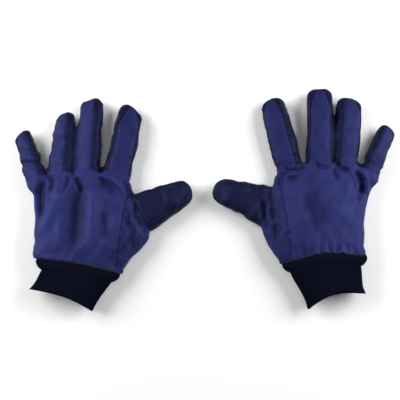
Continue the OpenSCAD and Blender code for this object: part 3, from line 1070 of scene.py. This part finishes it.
def knit_stations(glove, steps):
    """The knit, from its waist to its open end."""
    stations = []
    end_y = CUFF_END[glove.side]
    for t in np.linspace(0, 1, steps):
        y = WAIST_Y + (end_y - WAIST_Y) * t
        drawn_in = CUFF_TAPER[glove.side] * smooth(t) + KNIT_DRAWN_IN * math.sin(math.pi * t)
        half_w = WAIST_HALF_W - drawn_in
        half_t = WAIST_HALF_T + CUFF_GAPE * t
        stations.append((y, half_w, half_t, 1.0))
    return stations


def cuff_wall(glove, name, stations, rib, material):
    """A wall round the cuff, with ribs inside and out."""
    outer = cuff_rings(glove, stations, rib, 0)
    inner = cuff_rings(glove, stations, rib, KNIT_WALL)
    piece = ring_wall(f"{glove.side}_{name}", outer, inner)
    piece.data.materials.append(MATERIALS[material])
    return piece


def build_cuff(glove):
    """The rolled band and the knit, with their transforms baked in place, and the tape, which moves
    with the hand.
    """
    side = glove.side
    for name, stations in (("cuff_band", band_stations(14)), ("knit_cuff", knit_stations(glove, 36))):
        piece = cuff_wall(glove, f"{name}_knit", stations, RIB_DEPTH, "knit")
        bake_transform(piece)
        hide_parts(f"{side}_{name}")
    tape = [(y, TAPE_HALF_W, TAPE_HALF_T, 0) for y in TAPE_YS]
    piece = cuff_wall(glove, "hem_binding_tape", tape, 0, "tape")
    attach(piece, f"{side}_hand")
    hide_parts(f"{side}_hem_binding")


# ---- materials

# Colours are linear, from the darkest of a cloth to its palest.
SHELL_NAVY = ((0.0160, 0.0195, 0.092), (0.0235, 0.0285, 0.130))
# The dark colour that the painted shade on side strips, digits and the wing mixes towards.
PAINTED_SHADE_NAVY = (0.0028, 0.0034, 0.013, 1.0)
GROOVE_NAVY = (0.002, 0.0022, 0.009, 1.0)
THREAD_NAVY = (0.010, 0.011, 0.050, 1.0)
KNIT_NAVY = ((0.0013, 0.0017, 0.0060), (0.0028, 0.0034, 0.0105))
TAPE_NAVY = ((0.0015, 0.0018, 0.006), (0.003, 0.0035, 0.012))
FLEECE = ((0.42, 0.47, 0.55), (0.62, 0.67, 0.75))
FLOOR_WHITE = ((0.86, 0.86, 0.86), (0.9, 0.9, 0.9))
# Painted shade on the shell, by how far its cloth sinks: 0.25 is a ridge, left undimmed and so
# lighter, 0.5 is level and 1 is deep in a fold.
FOLD_PAINTED_SHADE = [(0.25, (1, 1, 1)), (0.5, (0.8, 0.8, 0.8)), (1.0, (0.22, 0.22, 0.24))]
THREAD_SPACING = 0.55 * MM
STITCH_LENGTH = 2.2 * MM


class Nodes:
    """Short forms for building a material's node tree."""

    def __init__(self, name):
        self.material = bpy.data.materials.new(name)
        self.material.use_nodes = True
        self.tree = self.material.node_tree
        self.shader = self.tree.nodes["Principled BSDF"]

    def add(self, kind, **inputs):
        node = self.tree.nodes.new(kind)
        for key, value in inputs.items():
            self.feed(node.inputs[key.replace("_", " ")], value)
        return node

    def feed(self, socket, value):
        if isinstance(value, bpy.types.NodeSocket):
            self.tree.links.new(value, socket)
        else:
            socket.default_value = value

    def math(self, operation, a, b=0.0):
        node = self.tree.nodes.new("ShaderNodeMath")
        node.operation = operation
        self.feed(node.inputs[0], a)
        self.feed(node.inputs[1], b)
        return node.outputs[0]

    def attribute(self, name, output):
        node = self.tree.nodes.new("ShaderNodeAttribute")
        node.attribute_name = name
        return node.outputs[output]

    def noise(self, vector, scale, detail=3.0):
        node = self.add("ShaderNodeTexNoise", Vector=vector, Scale=scale, Detail=detail)
        return node.outputs["Fac"]

    def wave(self, value, length):
        """A sine wave from 0 to 1 over each length of the value."""
        turned = self.math("MULTIPLY", value, 2 * math.pi / length)
        return self.math("ADD", self.math("MULTIPLY", self.math("SINE", turned), 0.5), 0.5)

    def mix(self, share, first, second, blend_type="MIX"):
        node = self.add("ShaderNodeMixRGB", Fac=share, Color1=first, Color2=second)
        node.blend_type = blend_type
        return node.outputs["Color"]

    def speckle(self, value, colors):
        """A cloth's darkest colour to its palest, over the middle of a noise's range."""
        return self.ramp(value, list(zip((0.3, 0.7), colors)))

    def ramp(self, value, stops):
        node = self.add("ShaderNodeValToRGB", Fac=value)
        elements = node.color_ramp.elements
        for _ in range(len(stops) - 2):
            elements.new(0.5)
        for element, (position, color) in zip(elements, stops):
            element.position = position
            element.color = (*color, 1)
        return node.outputs["Color"]

    def bump(self, height, strength, distance, normal=None):
        node = self.add("ShaderNodeBump", Height=height, Strength=strength, Distance=distance)
        if normal is not None:
            self.feed(node.inputs["Normal"], normal)
        return node.outputs["Normal"]

    def set(self, **values):
        for key, value in values.items():
            self.feed(self.shader.inputs[key.replace("_", " ")], value)


def shell_material():
    """Navy nylon: a fine plain weave with a slight sheen, stitched at its seams, with painted shade
    in its folds and on cloth that turns away from the lights.
    """
    n = Nodes("woven_nylon")
    weave = n.attribute("weave", "Vector")
    seam = n.attribute("seam", "Fac")
    run = n.attribute("run", "Fac")
    axes = n.add("ShaderNodeSeparateXYZ", Vector=weave)
    warp = n.wave(n.math("ADD", axes.outputs["X"], axes.outputs["Z"]), THREAD_SPACING)
    weft = n.wave(n.math("ADD", axes.outputs["Y"], axes.outputs["Z"]), THREAD_SPACING)
    threads = n.math("MULTIPLY", warp, weft)
    patches = n.noise(weave, 38.0)
    fine = n.noise(weave, 420.0)
    tone = n.math("ADD", n.math("MULTIPLY", patches, 0.7), n.math("MULTIPLY", fine, 0.3))
    color = n.speckle(tone, SHELL_NAVY)
    # Painted shade in the folds: the colour darkens with the depth the cloth has sunk, and ridges
    # stay lighter.
    sunk = n.math("ADD", n.math("MULTIPLY", n.attribute("depth", "Fac"), 0.085 / MM), 0.5)
    color = n.mix(1.0, color, n.ramp(sunk, FOLD_PAINTED_SHADE), "MULTIPLY")
    # Painted shade on side strips, digits and the wing, from the tone attribute.
    color = n.mix(n.math("MULTIPLY", n.attribute("tone", "Fac"), 0.95), color, PAINTED_SHADE_NAVY)
    groove = n.math("LESS_THAN", seam, 0.6 * MM)
    color = n.mix(n.math("MULTIPLY", groove, 0.8), color, GROOVE_NAVY)
    beside_seam = n.math("ABSOLUTE", n.math("SUBTRACT", seam, 1.6 * MM))
    dashes = n.math("GREATER_THAN", n.wave(run, STITCH_LENGTH), 0.25)
    stitches = n.math("MULTIPLY", n.math("LESS_THAN", beside_seam, 0.2 * MM), dashes)
    color = n.mix(stitches, color, THREAD_NAVY)
    rough = n.math("ADD", n.math("MULTIPLY", patches, 0.16), 0.46)
    surface = n.bump(threads, 0.35, 0.12 * MM)
    surface = n.bump(n.noise(weave, 160.0, 5.0), 0.35, 0.35 * MM, surface)
    surface = n.bump(n.noise(weave, 60.0, 4.0), 0.35, 0.9 * MM, surface)
    surface = n.bump(stitches, 0.5, 0.2 * MM, surface)
    n.set(Base_Color=color, Roughness=rough, Normal=surface,
          Specular_IOR_Level=0.24, Specular_Tint=(0.30, 0.34, 1.0, 1.0),
          Sheen_Weight=0.02, Sheen_Roughness=0.4, Sheen_Tint=(0.35, 0.40, 0.9, 1.0))
    return n.material


def knit_material():
    """Dark rib knit, matt and a little hairy."""
    n = Nodes("rib_knit")
    place = n.add("ShaderNodeNewGeometry").outputs["Position"]
    axes = n.add("ShaderNodeSeparateXYZ", Vector=place)
    rows = n.wave(axes.outputs["Y"], 1.5 * MM)
    fuzz = n.noise(place, 900.0)
    patches = n.noise(place, 60.0)
    tone = n.math("ADD", n.math("MULTIPLY", fuzz, 0.5), n.math("MULTIPLY", patches, 0.5))
    color = n.speckle(tone, KNIT_NAVY)
    surface = n.bump(rows, 0.5, 0.25 * MM)
    surface = n.bump(fuzz, 0.5, 0.3 * MM, surface)
    n.set(Base_Color=color, Roughness=0.92, Normal=surface, Specular_IOR_Level=0.12,
          Specular_Tint=(0.45, 0.5, 1.0, 1.0), Sheen_Weight=0.02, Sheen_Roughness=0.6,
          Sheen_Tint=(0.3, 0.32, 0.6, 1.0))
    return n.material


def liner_material():
    """Pale brushed fleece."""
    n = Nodes("brushed_fleece")
    place = n.add("ShaderNodeNewGeometry").outputs["Position"]
    nap = n.noise(place, 700.0, 5.0)
    color = n.speckle(nap, FLEECE)
    surface = n.bump(nap, 0.7, 0.5 * MM)
    n.set(Base_Color=color, Roughness=0.95, Normal=surface, Sheen_Weight=0.4)
    return n.material


def tape_material():
    """Narrow matt woven tape."""
    n = Nodes("binding_tape")
    place = n.add("ShaderNodeNewGeometry").outputs["Position"]
    weave = n.noise(place, 1200.0)
    color = n.speckle(weave, TAPE_NAVY)
    n.set(Base_Color=color, Roughness=0.85, Normal=n.bump(weave, 0.6, 0.2 * MM))
    return n.material


def floor_material():
    """Plain and pale, with hardly any pattern."""
    n = Nodes("pale_floor")
    place = n.add("ShaderNodeNewGeometry").outputs["Position"]
    color = n.ramp(n.noise(place, 3.0), list(zip((0.0, 1.0), FLOOR_WHITE)))
    n.set(Base_Color=color, Roughness=0.9)
    return n.material


MATERIALS = {
    "shell": shell_material(),
    "knit": knit_material(),
    "liner": liner_material(),
    "tape": tape_material(),
}


# ---- stage

def add_floor():
    bpy.ops.mesh.primitive_plane_add(size=12, location=(0, 0, -0.0005))
    floor = bpy.context.object
    floor.name = "floor"
    floor.data.materials.append(floor_material())


def add_light(name, place, size, power, aim=(0, 0, 0)):
    data = bpy.data.lights.new(name, "AREA")
    data.shape = "RECTANGLE"
    data.size, data.size_y = size
    data.energy = power
    light = bpy.data.objects.new(name, data)
    light.location = place
    light.rotation_euler = (Vector(place) - Vector(aim)).to_track_quat("Z", "Y").to_euler()
    bpy.context.scene.collection.objects.link(light)


def add_lights():
    world = bpy.data.worlds.new("studio")
    world.use_nodes = True
    world.node_tree.nodes["Background"].inputs["Color"].default_value = (1, 1, 1, 1)
    world.node_tree.nodes["Background"].inputs["Strength"].default_value = 0.07
    bpy.context.scene.world = world
    for name, s in (("left_softbox", -1), ("right_softbox", 1)):
        add_light(name, (s * 1.05, 0.30, 0.66), (0.9, 0.9), 20, (s * 0.12, 0.02, 0))
    add_light("overhead", (0, 0.1, 2.2), (1.4, 1.0), 6)


for side in SIDES:
    build_glove(GLOVES[side])
    build_cuff(GLOVES[side])
add_floor()
add_lights()
